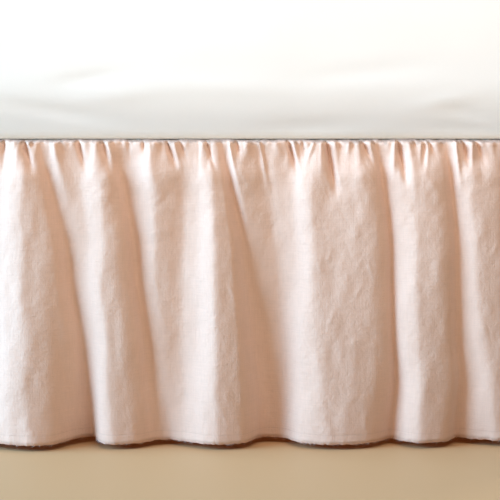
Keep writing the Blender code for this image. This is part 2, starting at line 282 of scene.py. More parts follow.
# Fold lines of the foot panel in millimetres: the place along the panel at the seam, half-way
# down and at the hem, how far the cloth stands out there, how softly it turns, and the bend of
# the slope to its right (above 0 it bulges, below 0 it hollows). They follow its solid's lines
# and were tuned on from them, so some lie up to 12 mm from those.
footFolds = (
    (-484, -484, -484, 12, 18, 26, 8, -0.10),
    (-424, -420, -416, 26, 40, 52, 9, 0.12),
    (-366, -378, -388, 8, 12, 18, 5, -0.10),
    (-319, -329, -340, 26, 43, 52, 8, 0.10),
    (-297, -303, -290, 33, 52, 65, 5, 0.02),
    (-293, -279, -262, 30, 48, 55, 8, 0.08),
    (-290, -258, -243, 20, 41, 20, 8, 0.14),
    (-286, -238, -216, 10, 17, 0, 4, -0.04),
    (-260, -225, -211, 24, 27, 22, 5, 0.00),
    (-233, -210, -205, 18, 38, 48, 6, 0.08),
    (-196, -195, -184, 34, 49, 55, 5, 0.02),
    (-193, -178, -158, 31, 47, 50, 8, 0.10),
    (-188, -161, -140, 20, 40, 36, 7, 0.12),
    (-184, -152, -131, 10, 17, 27, 4, 0.00),
    (-158, -146, -117, 19, 19, 21, 5, 0.00),
    (-133, -127, -104, 41, 32, 22, 6, 0.12),
    (-92, -92, -90, 28, 26, 33, 6, -0.06),
    (-70, -65, -66, 29, 39, 50, 7, 0.08),
    (-52, -48, -44, 34, 53, 55, 4, 0.02),
    (-47, -23, -16, 27, 48, 48, 8, 0.18),
    (-40, -4, 12, 8, 19, 7, 4, 0.00),
    (-30, 9, 26, 43, 19, 6, 4, 0.12),
    (16, 36, 45, 23, 18, 9, 4, -0.05),
    (29, 47, 52, 28, 22, 18, 5, 0.00),
    (60, 61, 66, 22, 33, 40, 6, 0.14),
    (91, 83, 110, 39, 49, 54, 7, 0.02),
    (112, 113, 139, 31, 47, 53, 8, -0.04),
    (147, 155, 156, 41, 46, 50, 10, 0.10),
    (160, 184, 177, 36, 38, 32, 8, 0.10),
    (166, 192, 193, 13, 15, 8, 4, 0.00),
    (184, 198, 213, 28, 35, 39, 5, 0.10),
    (216, 224, 230, 39, 50, 49, 5, 0.02),
    (240, 250, 251, 38, 47, 44, 8, 0.10),
    (253, 267, 268, 30, 42, 36, 7, 0.12),
    (260, 278, 281, 9, 21, 8, 4, 0.00),
    (268, 290, 304, 28, 31, 20, 5, 0.05),
    (287, 307, 334, 34, 44, 34, 7, 0.04),
    (322, 340, 358, 29, 38, 34, 8, 0.14),
    (352, 376, 396, 6, 12, 12, 6, -0.10),
    (400, 414, 428, 26, 40, 52, 9, 0.12),
    (484, 484, 484, 12, 18, 26, 8, 0.00),
)


def downTheDrop(values, v):
    # quadratic through a line's values at the seam, half-way and the hem
    seam, middle, hem = (values[:, i, None, None] for i in range(3))
    return seam * (1 - v) * (1 - 2 * v) + middle * 4 * v * (1 - v) + hem * v * (2 * v - 1)


def foldOut(lines, along, v):
    # Between two lines the cloth follows a chord plus a parabola (its bend). Each line adds its
    # change of slope times a rounded ramp (u + sqrt(u^2 + w^2)) / 2, with u the distance past
    # the line and w its turn, and each parabola is the difference of two half squares of u.
    lines = np.array(lines, dtype=float)
    lines[:, :7] *= mm
    place, out = downTheDrop(lines[:, 0:3], v), downTheDrop(lines[:, 3:6], v)
    run, rise = np.diff(place, axis=0), np.diff(out, axis=0)
    curve = 4 * lines[:-1, 7, None, None] * np.abs(rise) / run
    level = np.zeros_like(run[:1])
    leaving = np.concatenate([rise / run + curve, level])
    arriving = np.concatenate([level, rise / run - curve])
    total = out[0] + np.zeros_like(along)
    for line in range(len(lines)):
        u = along - place[line]
        total += (leaving[line] - arriving[line]) * (u + np.sqrt(u * u + lines[line, 6] ** 2)) / 2
        if line < len(lines) - 1:
            past = along - place[line + 1]
            halfSquares = (np.maximum(u, 0) ** 2 - np.maximum(past, 0) ** 2) / 2
            total -= 2 * curve[line] / run[line] * halfSquares
    return total


# Folds of the side panels, the same rule as their solids': the range of each size in
# millimetres, drawn for each fold in turn by stepping through it in golden and plastic ratios
sideFolds = {
    "width": (104, 172),
    "out": (42, 66),
    "valleyOut": (9, 22),
    "endFlat": 14,
    "lean": 26,
    "leanWave": 910,
    "golden": 0.618034,
    "plastic": 0.754878,
}


def pick(limits, number, ratio):
    low, high = limits
    return low + (high - low) * ((number * ratio) % 1.0)


def sideLines(length, first):
    # the fold lines of a side panel from its own middle, in the columns of footFolds
    half = length / mm / 2
    golden, plastic = sideFolds["golden"], sideFolds["plastic"]

    def line(place, seam, middle, hem, turn, bend):
        lean = sideFolds["lean"] * math.sin(math.tau * (place / sideFolds["leanWave"] + first * golden))
        return (place, place + 0.4 * lean, place + lean, seam, middle, hem, turn, bend)

    lines = [(-half, -half, -half, 12, 18, 26, 8, -0.10)]
    start, number = -half + sideFolds["endFlat"], first
    while start < half - 1.3 * sideFolds["width"][1]:
        width = pick(sideFolds["width"], number, golden)
        out = pick(sideFolds["out"], number, plastic)
        valley = pick(sideFolds["valleyOut"], number + 1, plastic)
        lines.append(line(start + 0.26 * width, 19, 0.55 * out, 0.74 * out, 8, 0.10))
        lines.append(line(start + 0.44 * width, 30, 0.80 * out, out, 6, 0.02))
        lines.append(line(start + 0.60 * width, 25, 0.75 * out, 0.88 * out, 8, 0.12))
        if number % 3 == 1:
            lines.append(line(start + 0.78 * width, 17, 0.44 * out, 0.50 * out, 8, 0.00))
        lines.append(line(start + width, 6, 9, valley, 5, -0.08))
        start += width
        number += 1
    lines.append(line((start + half) / 2, 26, 38, 50, 9, 0.12))
    lines.append((half, half, half, 12, 18, 26, 8, 0.00))
    return lines


# Gathers of the foot panel in millimetres: the place at the seam and at the lower end, how
# far down that is, the half width and the relief (above 0 a ridge, below 0 a crease)
footGathers = (
    (-330, -331, 50, 5.0, -11),
    (-313, -311, 60, 6.0, 5),
    (-303, -288, 50, 4.5, -9),
    (-294, -298, 12, 2.2, 3),
    (-290, -291, 12, 2.2, -4),
    (-279, -272, 10, 2.0, -3),
    (-262, -250, 84, 9.0, 9),
    (-250, -244, 14, 3.0, 3),
    (-231, -218, 44, 3.6, -9),
    (-206, -208, 62, 6.0, 4),
    (-198, -184, 50, 5.0, -8),
    (-190, -186, 20, 2.4, 3),
    (-183, -181, 13, 2.2, -4),
    (-187, -176, 66, 10.0, 5),
    (-173, -171, 10, 2.0, -3),
    (-163, -160, 36, 2.6, -3),
    (-143, -141, 20, 2.2, -5),
    (-135, -132, 62, 5.0, 4),
    (-128, -126, 22, 8.0, 3),
    (-112, -97, 40, 3.0, -8),
    (-102, -91, 46, 2.6, 5),
    (-95, -84, 28, 2.6, -6),
    (-64, -64, 70, 7.0, 4),
    (-59, -45, 44, 2.2, -5),
    (-47, -44, 26, 7.0, 4),
    (-28, -14, 80, 2.8, 5),
    (-18, -14, 26, 2.6, -7),
    (-4, -3, 32, 7.0, 9),
    (12, 28, 82, 2.8, 6),
    (36, 38, 34, 7.0, 4),
    (51, 68, 56, 3.4, -12),
    (58, 73, 82, 3.6, 6),
    (70, 73, 26, 2.6, -5),
    (86, 72, 38, 2.2, 5),
    (95, 94, 52, 2.2, 3),
    (102, 116, 78, 3.6, -11),
    (113, 115, 24, 2.2, 4),
    (118, 122, 16, 2.2, -5),
    (132, 130, 24, 2.2, 5),
    (137, 138, 14, 2.0, -3),
    (145, 148, 90, 7.0, 3),
    (150, 165, 36, 3.0, -7),
    (160, 163, 22, 2.2, 4),
    (165, 170, 16, 2.2, -5),
    (193, 188, 72, 3.6, 7),
    (198, 209, 62, 3.6, -12),
    (213, 218, 82, 6.0, 4),
    (219, 221, 15, 2.2, -5),
    (228, 226, 34, 2.2, 3),
    (233, 230, 40, 2.2, -3),
    (239, 232, 50, 2.4, 4),
    (238, 245, 20, 2.6, -7),
    (274, 280, 82, 4.0, 9),
    (285, 293, 40, 3.4, -12),
    (297, 293, 52, 3.6, 6),
    (303, 314, 38, 3.0, -6),
    (323, 327, 44, 6.0, 3),
)


puckers = {
    "tuned": 342,          # footGathers holds within this many millimetres of the middle
    "foot": (13, 6.5),     # pitch and relief beyond that
    "footSmall": (11, 2.4),  # those between the gathers listed in footGathers
    "side": (15, 7.5),
    "sideSmall": (9, 2.4),
    "narrow": 0.6,         # a gather's width at the seam, and how much it widens on its way down
    "widen": 0.9,
    "ridgeFade": 1.2,      # powers by which a ridge and a crease die out, and of a crease's edge
    "creaseFade": 1.3,
    "creaseEdge": 1.5,
    "mostPinched": 0.9,
}


def seededGathers(start, end, pitch, relief, seed):
    # small puckers at uneven steps along a stretch of seam, a crease and a ridge in turn
    rng = np.random.default_rng(seed)
    count = max(int((end - start) / pitch), 1)
    place = start + (np.arange(count) + rng.uniform(0.1, 0.9, count)) * (end - start) / count
    length = 12 + 50 * rng.uniform(0, 1, count) ** 2
    drift = rng.normal(0, 0.13, count) * length
    width = rng.uniform(1.8, 4.6, count)
    height = relief * rng.uniform(0.5, 1.0, count) * np.where(np.arange(count) % 2, 0.8, -1.0)
    return np.stack([place, place + drift, length, width, height], axis=1)


def gatherShape(gathers, along, depth):
    # Ridges add a bell curve across their line, and creases pinch the cloth back towards the
    # seam by a share of how far it stands out. Both are narrowest at the seam, widen as they
    # run down and die out towards their lower end. Returned: the ridges, and the share kept.
    ridges, kept = np.zeros_like(along), np.ones_like(along)
    rise = np.sqrt(np.clip(depth / cloth["gatherRise"], 0, 1))
    for seamPlace, endPlace, length, halfWidth, relief in np.array(gathers) * mm:
        t = np.clip(depth / length, 0, 1)
        line = seamPlace + (endPlace - seamPlace) * t
        across = np.abs(along - line) / (halfWidth * (puckers["narrow"] + puckers["widen"] * t))
        if relief > 0:
            ridges += relief * rise * (1 - t) ** puckers["ridgeFade"] * np.exp(-across ** 2)
        else:
            pinch = min(-relief / cloth["fullPinch"], puckers["mostPinched"])
            kept *= 1 - pinch * (1 - t) ** puckers["creaseFade"] * np.exp(-across ** puckers["creaseEdge"])
    return ridges, kept


crinkles = {
    "swing": 1.5 * mm,              # soft wide waves along the folds
    "swingCell": (0.032, 0.085),
    "mottle": 0.75 * mm,            # small soft dents, strongest just below the seam
    "mottleCell": (0.010, 0.015),
    "mottleDrop": 0.07,
    "ridge": (0.4 * mm, 1.1 * mm),  # short slanting ridges: relief, half length, half width, tilt
    "ridgeLength": (5 * mm, 15 * mm),
    "ridgeWidth": (1.7 * mm, 3.0 * mm),
    "ridgeTilt": (15, 65),
    "perSquareMetre": 700,
}


def crinkleRelief(local, height, crest, seed):
    # soft waves from smooth noise, plus short ridges: a bell across a tilted line, cut off by
    # a second bell along it; they stand out most on the crests
    wide, tall = crinkles["swingCell"]
    total = crinkles["swing"] * latticeNoise(local / wide, height / tall, seed)
    total += 0.4 * crinkles["swing"] * latticeNoise(local / wide * 2.3, height / tall * 2.1, seed + 1)
    fine, low = crinkles["mottleCell"]
    nearSeam = 0.5 + np.exp(-height / crinkles["mottleDrop"])
    total += crinkles["mottle"] * nearSeam * latticeNoise(local / fine, height / low, seed + 5)
    rng = np.random.default_rng(seed + 2)
    left, right = local.min(), local.max()
    count = int(crinkles["perSquareMetre"] * (right - left) * bed["drop"])
    column = np.arange(local.shape[1])
    for _ in range(count):
        x, z = rng.uniform(left, right), rng.uniform(0.0, bed["drop"])
        relief = rng.uniform(*crinkles["ridge"]) * rng.choice((-0.7, 1.0))
        halfLength, halfWidth = rng.uniform(*crinkles["ridgeLength"]), rng.uniform(*crinkles["ridgeWidth"])
        tilt = math.radians(rng.uniform(*crinkles["ridgeTilt"])) * rng.choice((-1, 1), p=(0.35, 0.65))
        near = column[np.abs(local[0] - x) < 3 * halfLength]
        if len(near) == 0:
            continue
        part = slice(near[0], near[-1] + 1)
        dx, dz = local[:, part] - x, height[:, part] - z
        lengthways = dz * math.cos(tilt) + dx * math.sin(tilt)
        across = dx * math.cos(tilt) - dz * math.sin(tilt)
        bell = np.exp(-(lengthways / halfLength) ** 2 - (across / halfWidth) ** 2)
        total[:, part] += relief * bell * (0.3 + 0.7 * crest[:, part])
    return total


cloth = {
    "thickness": 0.0008,
    "seat": 0.0023,      # the seam band stands this far off the deck's edge line
    "seamBand": 0.0005,
    "puffDrop": 0.0035,
    "seamRise": 0.0009,  # between the stitches the gathers stand up over the seam by this much
    "riseCell": 0.010,
    "gatherRise": 0.005,
    "gatheredOut": 0.017,   # the folds start from this distance out, this share open, and are
    "gatheredShare": 0.33,  # fully open at this drop below the seam
    "openDrop": 0.052,
    "wander": 0.0028,       # the fold lines stray sideways by about this much
    "wanderCell": (0.11, 0.065),
    "fullPinch": 0.011,  # a crease of this relief pinches the cloth right back to the seam
    "floorRound": 0.0015,
    "rowCrowding": 1.35,
    "slit": 0.003,
    "hemWave": 0.0012,
    "hemRagged": 0.0006,
    "hemWaveCell": 0.045,
    "hemRaggedCell": 0.0035,
    "crest": (0.012, 0.035),   # crinkles strengthen from this far out, over this much more
    "crinkleDrop": 0.02,       # and fade in over this drop
    "footGrid": (478, 100),
    "footDense": (0.715, 0.82),   # this share of the foot's width has that share of its columns
    "sideDense": (0.5, 0.5),
    "sideGrid": (470, 88),
}


def panelPoints(start, end, grid, dense, lines, gathers, seed):
    # a grid along the seam and down the drop; its folds, gathers and crinkles push it out from
    # the deck's edge, and a quarter circle eases the push in below the seam's flat band
    columns, rows = grid
    down = np.linspace(0, 1, rows + 1) ** cloth["rowCrowding"]
    half = (end - start) / 2
    reach, share = dense
    knots = (-half, -reach * half, reach * half, half)
    across = np.interp(np.linspace(-1, 1, columns + 1), (-1, -share, share, 1), knots)
    v, local = np.meshgrid(down, across, indexing="ij")
    along = local + (start + end) / 2
    depth = v * bed["drop"]
    opened = np.clip(depth / cloth["openDrop"], 0, 1)
    opened = cloth["gatheredShare"] + (1 - cloth["gatheredShare"]) * opened * opened * (3 - 2 * opened)
    broad, tall = cloth["wanderCell"]
    wander = cloth["wander"] * latticeNoise(local / broad, depth / tall, seed + 9) * opened
    fold = cloth["gatheredOut"] + (foldOut(lines, local + wander, v) - cloth["gatheredOut"]) * opened
    crest = np.clip((fold - cloth["crest"][0]) / cloth["crest"][1], 0, 1)
    ridges, kept = gatherShape(gathers, local, depth)
    fadeIn = np.clip(depth / cloth["crinkleDrop"], 0, 1)
    relief = ridges + crinkleRelief(local, depth, crest, seed) * fadeIn
    below = np.clip((depth - cloth["seamBand"]) / cloth["puffDrop"], 0, 1)
    swell = np.sqrt(1 - (1 - below) ** 2)
    off = (fold - cloth["seat"]) * swell * kept + relief
    rounding = cloth["floorRound"]
    off = (off + np.sqrt(off * off + rounding ** 2) - rounding) / 2   # never behind the band
    points = np.empty(v.shape + (3,))
    points[..., 0], points[..., 1] = planPoint(along, cloth["seat"] + off)
    level = np.zeros_like(local)
    wave = cloth["hemWave"] * latticeNoise(local / cloth["hemWaveCell"], level, seed + 7)
    ragged = cloth["hemRagged"] * latticeNoise(local / cloth["hemRaggedCell"], level, seed + 8)
    rise = cloth["seamRise"] * (1 + latticeNoise(local / cloth["riseCell"], level, seed + 11))
    rise *= np.clip(1 - depth / cloth["riseCell"], 0, 1)
    points[..., 2] = bed["seamHeight"] - depth + wave * v * v + ragged * v ** 60 + rise
    halfWay = points[rows // 2]
    step = np.linalg.norm(np.diff(halfWay, axis=0), axis=1)
    flat = np.concatenate([[0], np.cumsum(step)])
    uv = np.stack([np.broadcast_to(flat, v.shape), bed["drop"] - depth], axis=-1)
    return points, uv


def makePanel(name, node, points, uv, material):
    mesh = gridMesh(name, points, uv)
    piece = linkPiece(name, mesh, material, node)
    wall = piece.modifiers.new("cloth thickness", "SOLIDIFY")
    wall.thickness = cloth["thickness"]
    wall.offset = -1
    return piece


frayedEdge = {
    "spacing": 3.2 * mm,
    "root": 1.2 * mm,        # how far above the edge a thread starts
    "length": (1.2 * mm, 4.2 * mm),
    "longShare": 0.05,
    "longLength": 8.0 * mm,
    "radius": 0.26 * mm,
    "sag": 0.5,
    "taper": 0.7,
    "perBunch": 12,          # one bunch for this many threads, the share in bunches, how closely
    "bunched": 0.45,
    "bunchSpread": 6 * mm,
    "lean": 0.35,            # sideways lean of a short thread and of a long one
    "longLean": 1.6,
    "outward": (0.15, 0.25),  # mean and spread of how far a thread leans outwards
    "curl": 0.5,
    "curlUp": 0.25,
}


def makeThreads(name, node, edge, inward, material, seed):
    # loose thread ends along a raw edge: each is a three-sided tube of three rings that
    # narrows to its tip, leaves the cloth downwards and curls to one side by t squared
    rng = np.random.default_rng(seed)
    step = np.linalg.norm(np.diff(edge, axis=0), axis=1)
    reach = np.concatenate([[0], np.cumsum(step)])
    count = int(reach[-1] / frayedEdge["spacing"])
    bunch = rng.uniform(0, reach[-1], count // frayedEdge["perBunch"])
    place = rng.uniform(0, reach[-1], count)
    crowded = rng.uniform(0, 1, count) < frayedEdge["bunched"]
    beside = rng.choice(bunch, crowded.sum()) + rng.normal(0, frayedEdge["bunchSpread"], crowded.sum())
    place[crowded] = beside % reach[-1]
    root = np.stack([np.interp(place, reach, edge[:, i]) for i in range(3)], axis=1)
    facing = np.stack([np.interp(place, reach, inward[:, i]) for i in range(3)], axis=1)
    root = root + facing * cloth["thickness"] / 2
    root[:, 2] += frayedEdge["root"]
    length = rng.uniform(*frayedEdge["length"], count)
    long = rng.uniform(0, 1, count) < frayedEdge["longShare"]
    length[long] = frayedEdge["longLength"] * rng.uniform(0.5, 1.0, long.sum())
    sideways = np.cross(facing, (0.0, 0.0, 1.0))
    lean = rng.normal(0, frayedEdge["lean"], count)[:, None]
    lean[long] = np.sign(lean[long]) * frayedEdge["longLean"]
    outwards = rng.normal(*frayedEdge["outward"], count)[:, None]
    aim = np.array([0.0, 0.0, -1.0]) + sideways * lean - facing * outwards
    aim /= np.linalg.norm(aim, axis=1)[:, None]
    curl = sideways * rng.normal(0, frayedEdge["curl"], count)[:, None]
    curl = curl + np.array([0, 0, frayedEdge["curlUp"]])
    t = np.linspace(0, 1, 3)
    total = (length + frayedEdge["root"])[:, None, None]
    bent = aim[:, None] * t[:, None] + curl[:, None] * t[:, None] ** 2 * frayedEdge["sag"]
    centre = root[:, None] + total * bent
    angle = np.arange(3) * math.tau / 3
    first = np.cross(aim, facing)
    first /= np.linalg.norm(first, axis=1)[:, None]
    second = np.cross(aim, first)
    spoke = first[:, None] * np.cos(angle)[:, None] + second[:, None] * np.sin(angle)[:, None]
    width = frayedEdge["radius"] * (1 - frayedEdge["taper"] * t)
    points = centre[:, :, None] + spoke[:, None] * width[:, None, None]
    ring = np.arange(9).reshape(3, 3)
    onward = np.roll(ring, -1, axis=1)
    quads = np.stack([ring[:-1], onward[:-1], onward[1:], ring[1:]], axis=-1).reshape(-1, 4)
    base = np.arange(count)[:, None, None] * 9
    faces = (quads + base).reshape(-1, 4).tolist()
    faces += (np.array([[0, 2, 1], [6, 7, 8]]) + base).reshape(-1, 3).tolist()
    mesh = bpy.data.meshes.new(name)
    mesh.from_pydata(points.reshape(-1, 3).tolist(), [], faces)
    mesh.update()
    return linkPiece(name, mesh, material, node)


# Washed linen, plain woven from uneven yarn and tumbled: matt, with slubs both ways, small
# shifts of tone, a soft fuzz, a paler frayed edge and a stitched line above it.
linenLook = {
    "colour": "#e4c0ac",
    "slubDark": 0.94,
    "slubLight": 1.05,
    "slubWide": 1.4 * mm,    # real slubs are 0.5 to 1 mm wide; these are coarse enough to show
    "slubLong": 26 * mm,
    "weavePitch": 1.0 * mm,  # real threads are 0.5 mm apart
    "creaseCell": 8 * mm,    # the soft dimples and small creases that tumbling leaves
    "creaseRelief": 1.1 * mm,
    "creaseStrength": 0.75,
    "toneScale": 22.0,       # cells a metre of the slow shifts of tone
    "toneShare": 0.35,
    "fray": 2.2 * mm,
    "frayScale": 420.0,
    "frayPaler": 0.14,
    "stitchHeight": 12.5 * mm,
    "stitchWide": (0.3 * mm, 1.1 * mm),
    "stitchDarker": 0.05,
    "stitchSunk": 0.6,
    "threadRelief": 0.5 * mm,
    "weaveShare": 0.10,
    "sheen": 0.35,
    "seamShade": 0.32,       # the cloth turned under the seam lies in its own shadow
    "seamDepth": (3.0 * mm, 7.0 * mm),
    "seamCell": 9 * mm,
}
linen, tree, shader = newMaterial("washed linen", linenLook["colour"], 0.86,
                                  {"Sheen Roughness": 0.5, "Specular IOR Level": 0.3})
uvNode = addNode(tree, "ShaderNodeUVMap", {"uv_map": "cloth"})
wide, long = 1 / linenLook["slubWide"], 1 / linenLook["slubLong"]
onCloth = {"Vector": uvNode.outputs["UV"]}
warpMap = addNode(tree, "ShaderNodeMapping", {"Scale": (wide, long, 1)}, onCloth)
weftMap = addNode(tree, "ShaderNodeMapping", {"Scale": (long, wide, 1)}, onCloth)
warpSlub = addNode(tree, "ShaderNodeTexNoise", {"Scale": 1.0, "Detail": 2.0, "Roughness": 0.6},
                   {"Vector": warpMap.outputs["Vector"]})
weftSlub = addNode(tree, "ShaderNodeTexNoise", {"Scale": 1.0, "Detail": 2.0, "Roughness": 0.6},
                   {"Vector": weftMap.outputs["Vector"]})
slub = addNode(tree, "ShaderNodeMath", {"operation": "ADD"},
               {0: warpSlub.outputs["Fac"], 1: weftSlub.outputs["Fac"]})
tone = addNode(tree, "ShaderNodeTexNoise", {"Scale": linenLook["toneScale"], "Detail": 3.0}, onCloth)
mixTone = addNode(tree, "ShaderNodeMath", {"operation": "MULTIPLY_ADD", 1: linenLook["toneShare"]},
                  {0: tone.outputs["Fac"], 2: slub.outputs["Value"]})
toneRange = addNode(tree, "ShaderNodeMapRange",
                    {"From Min": 0.80, "From Max": 1.55, "To Min": linenLook["slubDark"],
                     "To Max": linenLook["slubLight"]},
                    {"Value": mixTone.outputs["Value"]})
split = addNode(tree, "ShaderNodeSeparateXYZ", {}, onCloth)
frayNoise = addNode(tree, "ShaderNodeTexNoise", {"Scale": linenLook["frayScale"], "Detail": 2.0}, onCloth)
frayEdge = addNode(tree, "ShaderNodeMath", {"operation": "MULTIPLY", 1: 2.0 * linenLook["fray"]},
                   {0: frayNoise.outputs["Fac"]})
fray = addNode(tree, "ShaderNodeMath", {"operation": "LESS_THAN"},
               {0: split.outputs["Y"], 1: frayEdge.outputs["Value"]})
stitchOff = addNode(tree, "ShaderNodeMath", {"operation": "SUBTRACT", 1: linenLook["stitchHeight"]},
                    {0: split.outputs["Y"]})
stitchAway = addNode(tree, "ShaderNodeMath", {"operation": "ABSOLUTE"}, {0: stitchOff.outputs["Value"]})
stitchNear, stitchFar = linenLook["stitchWide"]
stitch = addNode(tree, "ShaderNodeMapRange",
                 {"From Min": stitchNear, "From Max": stitchFar, "To Min": 1.0, "To Max": 0.0},
                 {"Value": stitchAway.outputs["Value"]})
stitchShade = addNode(tree, "ShaderNodeMath",
                      {"operation": "MULTIPLY_ADD", 1: -linenLook["stitchDarker"], 2: 1.0},
                      {0: stitch.outputs["Result"]})
frayShade = addNode(tree, "ShaderNodeMath", {"operation": "MULTIPLY_ADD", 1: linenLook["frayPaler"]},
                    {0: fray.outputs["Value"], 2: stitchShade.outputs["Value"]})
seamNoise = addNode(tree, "ShaderNodeTexNoise", {"Scale": 1 / linenLook["seamCell"], "Detail": 1.0}, onCloth)
seamReach = addNode(tree, "ShaderNodeMapRange",
                    {"From Min": 0.35, "From Max": 0.65, "To Min": linenLook["seamDepth"][0],
                     "To Max": linenLook["seamDepth"][1]}, {"Value": seamNoise.outputs["Fac"]})
belowSeam = addNode(tree, "ShaderNodeMath", {"operation": "SUBTRACT", 0: bed["drop"]},
                    {1: split.outputs["Y"]})
seamShade = addNode(tree, "ShaderNodeMapRange", {"To Min": linenLook["seamShade"], "To Max": 1.0},
                    {"Value": belowSeam.outputs["Value"], "From Max": seamReach.outputs["Result"]})
sheenShade = addNode(tree, "ShaderNodeMapRange",
                     {"From Min": linenLook["seamShade"], "To Max": linenLook["sheen"]},
                     {"Value": seamShade.outputs["Result"]})
tree.links.new(sheenShade.outputs["Result"], shader.inputs["Sheen Weight"])
edgeShade = addNode(tree, "ShaderNodeMath", {"operation": "MULTIPLY"},
                    {0: frayShade.outputs["Value"], 1: seamShade.outputs["Result"]})
shade = addNode(tree, "ShaderNodeMath", {"operation": "MULTIPLY"},
                {0: toneRange.outputs["Result"], 1: edgeShade.outputs["Value"]})
tintBy(tree, shader, linenLook["colour"], shade.outputs["Value"])
weaveMap = addNode(tree, "ShaderNodeMapping",
                   {"Scale": (math.tau / 2 / linenLook["weavePitch"],) * 2 + (1,)}, onCloth)
weaveSplit = addNode(tree, "ShaderNodeSeparateXYZ", {}, {"Vector": weaveMap.outputs["Vector"]})
weaveX = addNode(tree, "ShaderNodeMath", {"operation": "SINE"}, {0: weaveSplit.outputs["X"]})
weaveY = addNode(tree, "ShaderNodeMath", {"operation": "SINE"}, {0: weaveSplit.outputs["Y"]})
weave = addNode(tree, "ShaderNodeMath", {"operation": "MULTIPLY"},
                {0: weaveX.outputs["Value"], 1: weaveY.outputs["Value"]})
relief = addNode(tree, "ShaderNodeMath", {"operation": "MULTIPLY_ADD", 1: linenLook["weaveShare"]},
                 {0: weave.outputs["Value"], 2: slub.outputs["Value"]})
stitchRelief = addNode(tree, "ShaderNodeMath", {"operation": "MULTIPLY_ADD", 1: -linenLook["stitchSunk"]},
                       {0: stitch.outputs["Result"], 2: relief.outputs["Value"]})
creaseNoise = addNode(tree, "ShaderNodeTexNoise",
                      {"Scale": 1 / linenLook["creaseCell"], "Detail": 4.0, "Roughness": 0.62,
                       "Distortion": 0.3}, onCloth)
creases = addNode(tree, "ShaderNodeBump",
                  {"Strength": linenLook["creaseStrength"], "Distance": linenLook["creaseRelief"]},
                  {"Height": creaseNoise.outputs["Fac"]})
bump = addNode(tree, "ShaderNodeBump", {"Strength": 0.5, "Distance": linenLook["threadRelief"]},
               {"Height": stitchRelief.outputs["Value"], "Normal": creases.outputs["Normal"]})
tree.links.new(bump.outputs["Normal"], shader.inputs["Normal"])

# the loose ends are the same linen, a little paler where single threads catch the light
threadLook = {"colour": "#ecd8cf", "noiseScale": 900.0}
thread, tree, shader = newMaterial("linen thread", threadLook["colour"], 0.8, {"Sheen Weight": 0.1})
threadNoise = pieceNoise(tree, threadLook["noiseScale"], 1.0)
threadShade = addNode(tree, "ShaderNodeMapRange", {"To Min": 0.85, "To Max": 1.08},
                      {"Value": threadNoise.outputs["Fac"]})
tintBy(tree, shader, threadLook["colour"], threadShade.outputs["Result"])


footEnd = halfFoot + cornerArc / 2 - cloth["slit"] / 2
sideStart = halfFoot + cornerArc / 2 + cloth["slit"] / 2
sideEnd = halfFoot + cornerArc * 1.5 + sideRun
sideLength = sideEnd - sideStart
footHalf, sideHalf = footEnd / mm, sideLength / mm / 2

footPuckers = np.concatenate([
    np.array(footGathers, dtype=float),
    seededGathers(-footHalf, -puckers["tuned"], *puckers["foot"], 31),
    seededGathers(puckers["tuned"], footHalf, *puckers["foot"], 32),
    seededGathers(-puckers["tuned"], puckers["tuned"], *puckers["footSmall"], 33),
])


def sidePuckers(seed):
    return np.concatenate([
        seededGathers(-sideHalf, sideHalf, *puckers["side"], seed),
        seededGathers(-sideHalf, sideHalf, *puckers["sideSmall"], seed + 1),
    ])


# each panel's last value is its cut size in metres, an estimate: it is longer than the folds,
# which the print line measures, because the small gathers aren't all modelled
panels = (
    ("skirtFoot", "skirt_foot", -footEnd, footEnd, cloth["footGrid"], cloth["footDense"],
     footFolds, footPuckers, 11, (1.30, 0.42)),
    ("skirtRight", "skirt_right", sideStart, sideEnd, cloth["sideGrid"], cloth["sideDense"],
     sideLines(sideLength, 2), sidePuckers(41), 51, (2.62, 0.42)),
    ("skirtLeft", "skirt_left", -sideEnd, -sideStart, cloth["sideGrid"], cloth["sideDense"],
     sideLines(sideLength, 9), sidePuckers(61), 71, (2.62, 0.42)),
)
leftPieces = []
for name, node, start, end, grid, dense, lines, gathers, seed, flatSize in panels:
    points, uv = panelPoints(start, end, grid, dense, lines, gathers, seed)
    panel = makePanel(name, node, points, uv, linen)
    edge = points[-1]
    run = np.gradient(edge, axis=0)
    inward = np.cross((0.0, 0.0, 1.0), run)
    inward /= np.linalg.norm(inward, axis=1)[:, None]
    threads = makeThreads(name + "Threads", node, edge, inward, thread, seed + 20)
    if name == "skirtLeft":
        leftPieces = [panel, threads]
    print(name, "is", round(float(uv[0, -1, 0]), 3), "m along its folds half-way down")

# the left panel and its threads are lit by the curtained window light in place of the full one
for lamp, state in ((windowLight, "EXCLUDE"), (curtainLight, "INCLUDE")):
    receivers = bpy.data.collections.new("receivers of the " + lamp.name)
    for piece in leftPieces:
        receivers.objects.link(piece)
    lamp.light_linking.receiver_collection = receivers
    for member in receivers.collection_objects:
        member.light_linking.link_state = state
print("panels hung")


